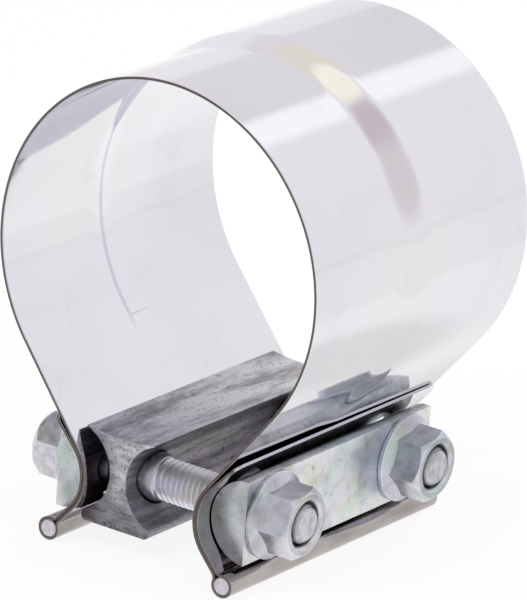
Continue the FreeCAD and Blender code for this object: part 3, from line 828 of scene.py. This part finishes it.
def make_bolt(name, side, turn):
    y = side * BOLT_Y
    low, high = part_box(name)
    top, tip = low.x / MM, high.x / MM
    head = hexagon_head(name + "_head", -BAR_FACE, top, y, turn,
                        chamfer=2.5, flange_rim=1.1, flange_cone=3.0)
    paint(head, "bolt", "zinc_edge")
    round_edges(head, 0.22, 25.0, 2)
    shade(head, 30.0)
    core = BOLT_RADIUS - THREAD_DEPTH - 0.02
    shank = turned(name + "_shank", [
        (-BAR_FACE, 0), (-BAR_FACE, SHANK_RADIUS), (SHANK_END - 2.4, SHANK_RADIUS),
        (SHANK_END - 1.5, SHANK_RADIUS - 0.12), (SHANK_END - 0.7, SHANK_RADIUS - 0.45),
        (SHANK_END, BOLT_RADIUS - 0.1), (SHANK_END + 0.3, core), (tip - 1.7, core),
        (tip, BOLT_RADIUS - BOLT_END_CHAMFER), (tip, 0)], y, AXIS_Z, 96)
    shade(shank, 40.0)
    screw = thread(name + "_thread", SHANK_END - 0.2, tip - 0.02, y, BOLT_END_CHAMFER)
    shade(screw, 50.0)
    piece = join([head, shank, screw], name)
    paint(piece, "bolt", "zinc_edge")
    finish_piece(piece, "head_side", name)


def make_nut(name, side, turn):
    y = side * BOLT_Y
    low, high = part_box(name)
    seat, outer = low.x / MM, high.x / MM
    piece = hexagon_head(name, seat, outer, y, turn, chamfer=1.35, flange_rim=1.3, flange_cone=3.2)
    bore = BOLT_RADIUS + 0.06
    seat_sink, end_sink, past = 0.54, 1.1, 1.0      # countersinks' depth, tool past the nut
    drill = turned("drill", [
        (seat - past, 0), (seat - past, bore + seat_sink + past), (seat + seat_sink, bore),
        (outer - end_sink, bore), (outer + past, bore + end_sink + past),
        (outer + past, 0)], y, AXIS_Z, 96)
    cut(piece, drill)
    paint(piece, "nut", "zinc_edge")
    round_edges(piece, 0.42, 25.0, 3)
    shade(piece, 30.0)
    finish_piece(piece, name, name)


# ------------------------------------------------------------------ build

band_half("band_nut_half", 1)
band_half("band_head_half", -1)
make_rod("nut_side_rod", 1)
make_rod("head_side_rod", -1)
make_bar("nut_side_bar", 1)
make_bar("head_side_bar", -1)
make_block()
make_bolt("front_bolt", -1, math.radians(12))
make_bolt("rear_bolt", 1, math.radians(-8))
make_nut("front_nut", -1, math.radians(-22.8))
make_nut("rear_nut", 1, math.radians(-17.1))

# ------------------------------------------------------------------ floor, light, camera

MIRRORED_AGAIN = (0.74, 0.74, 0.81)     # dims what one metal surface mirrors in another


def make_floor():
    """Pale floor.  Seen or mirrored it glows nearly white, less so before the clamp; mirrored,
    it has painted shade beside its nuts."""
    size = 3000.0
    floor = mesh_object("floor", [(-size, -size, 0), (size, -size, 0), (size, size, 0),
                                  (-size, size, 0)], [(0, 1, 2, 3)])
    material = bpy.data.materials.new("floor")
    material.use_nodes = True
    material.node_tree.nodes.clear()
    n = Nodes(material.node_tree)
    diffuse = n.add("ShaderNodeBsdfDiffuse")
    n.feed((0.92, 0.92, 0.93), diffuse.inputs["Color"])
    glow = n.add("ShaderNodeEmission")
    path = n.add("ShaderNodeLightPath")
    place = n.parts(n.where)
    before = n.between(place["Y"], -0.075, -0.035, 0.60, 0.90)
    aside = n.between(place["X"], 0.160, 0.178, 1.03, 0.97)
    behind = n.maths("MULTIPLY", n.between(place["Y"], 0.12, 0.17),
                     n.between(place["X"], 0.050, 0.015, 0.0, 0.06))
    beside = n.add("ShaderNodeVectorMath", operation="DISTANCE")
    n.join(n.where, beside.inputs[0])
    beside.inputs[1].default_value = (0.075, 0.070, 0.0)
    # Painted shade beside the nuts, in the floor's glow as the metal mirrors it.
    painted_shade_near = n.between(beside.outputs["Value"], 0.060, 0.025, 1.0, 0.84)
    later = n.maths("GREATER_THAN", path.outputs["Glossy Depth"], 1.5)
    level = n.maths("MULTIPLY", n.maths("MULTIPLY", before, aside), painted_shade_near)
    level = n.maths("ADD", level, behind)
    level = n.mix(later, level, n.mix(1.0, level, MIRRORED_AGAIN, "MULTIPLY"))
    n.join(n.mix(path.outputs["Is Glossy Ray"], (1.0, 1.0, 1.0), level), glow.inputs["Color"])
    seen = n.maths("MAXIMUM", path.outputs["Is Camera Ray"], path.outputs["Is Glossy Ray"])
    mix = n.add("ShaderNodeMixShader")
    n.join(n.maths("MULTIPLY", seen, 0.88), mix.inputs["Fac"])
    n.join(diffuse.outputs[0], mix.inputs[1])
    n.join(glow.outputs[0], mix.inputs[2])
    n.join(mix.outputs[0], n.add("ShaderNodeOutputMaterial").inputs["Surface"])
    floor.data.materials.append(material)


ROOM_PANELS = (        # colour, direction, and the nearness at which it starts and is full
    ((0.24, 0.24, 0.23), (-0.55, -0.10, 0.83), 0.82, 0.96),
    ((0.79, 0.77, 0.80), (-0.35, 0.76, 0.55), 0.935, 0.955),
    ((0.62, 0.55, 0.58), (0.46, 0.45, 0.77), 0.92, 0.995),
    ((0.72, 0.67, 0.69), (0.78, 0.45, 0.43), 0.90, 0.995),
    ((0.80, 0.77, 0.70), (-0.30, 0.53, 0.79), 0.95, 0.985),
    ((1.02, 1.00, 0.86), (0.00, 0.48, 0.88), 0.965, 0.99),
    ((1.06, 1.05, 1.08), (0.04, 0.784, 0.62), 0.990, 0.9985),
)


def make_world():
    """White room for polished metal to mirror: dimmer before the clamp and overhead at its
    left, with a mauve panel at the right behind it and a cream one beside that."""
    world = bpy.data.worlds.new("studio")
    scene.world = world
    world.use_nodes = True
    world.node_tree.nodes.clear()
    n = Nodes(world.node_tree, "Generated")
    place = n.parts(n.where)
    before = n.between(place["Y"], 0.15, -0.55)
    room = n.mix(before, (0.875, 0.865, 0.895), (0.62, 0.62, 0.66))
    for colour, direction, start, full in ROOM_PANELS:
        room = n.mix(n.between(n.towards(direction), start, full), room, colour)
    path = n.add("ShaderNodeLightPath")
    later = n.maths("GREATER_THAN", path.outputs["Glossy Depth"], 1.5)
    room = n.mix(later, room, n.mix(1.0, room, MIRRORED_AGAIN, "MULTIPLY"))
    soft = n.add("ShaderNodeBackground")
    n.join(room, soft.inputs["Color"])
    backdrop = n.add("ShaderNodeBackground")
    n.feed((1.0, 1.0, 1.0), backdrop.inputs["Color"])
    mix = n.add("ShaderNodeMixShader")
    n.join(path.outputs["Is Camera Ray"], mix.inputs["Fac"])
    n.join(soft.outputs[0], mix.inputs[1])
    n.join(backdrop.outputs[0], mix.inputs[2])
    n.join(mix.outputs[0], n.add("ShaderNodeOutputWorld").inputs["Surface"])


def area_light(name, place, aim, size, power, colour):
    data = bpy.data.lights.new(name, "AREA")
    data.shape = "RECTANGLE"
    data.size, data.size_y = size
    data.energy = power
    data.color = colour
    lamp = bpy.data.objects.new(name, data)
    lamp.visible_glossy = False
    scene.collection.objects.link(lamp)
    lamp.location = place
    lamp.rotation_euler = (Vector(aim) - Vector(place)).to_track_quat("-Z", "Y").to_euler()


def make_camera():
    azimuth, elevation, roll = (math.radians(a) for a in (33.97, 19.06, 4.67))
    distance = 1706.0
    aside, above = 1.637, 5.237                # of the aim point, from 40 above the bolts
    back = Vector((math.sin(azimuth) * math.cos(elevation),
                   -math.cos(azimuth) * math.cos(elevation), math.sin(elevation)))
    right = Vector((math.cos(azimuth), math.sin(azimuth), 0.0))
    up = back.cross(right)
    aim = right * aside + up * above + Vector((0.0, 0.0, AXIS_Z + 40.0))
    across = right * math.cos(roll) + up * math.sin(roll)
    upward = up * math.cos(roll) - right * math.sin(roll)
    data = bpy.data.cameras.new("camera")
    data.sensor_width = 36.0
    data.lens = 372.84
    data.clip_end = 20.0
    camera = bpy.data.objects.new("camera", data)
    scene.collection.objects.link(camera)
    rotation = Matrix((across, upward, back)).transposed().to_4x4()
    camera.matrix_world = Matrix.Translation((aim + back * distance) * MM) @ rotation
    scene.camera = camera


make_floor()
make_world()
area_light("key", (-0.5, -0.9, 1.1), (0, 0, 0.07), (0.9, 0.9), 9.0, (1.0, 0.98, 0.96))
area_light("side", (1.2, -0.2, 0.7), (0, 0, 0.07), (0.7, 0.9), 5.0, (0.95, 0.96, 1.0))
area_light("rear", (0.1, 1.2, 0.9), (0, 0, 0.07), (1.0, 0.6), 5.0, (0.97, 0.97, 1.0))
make_camera()
scene.view_settings.view_transform = "Standard"
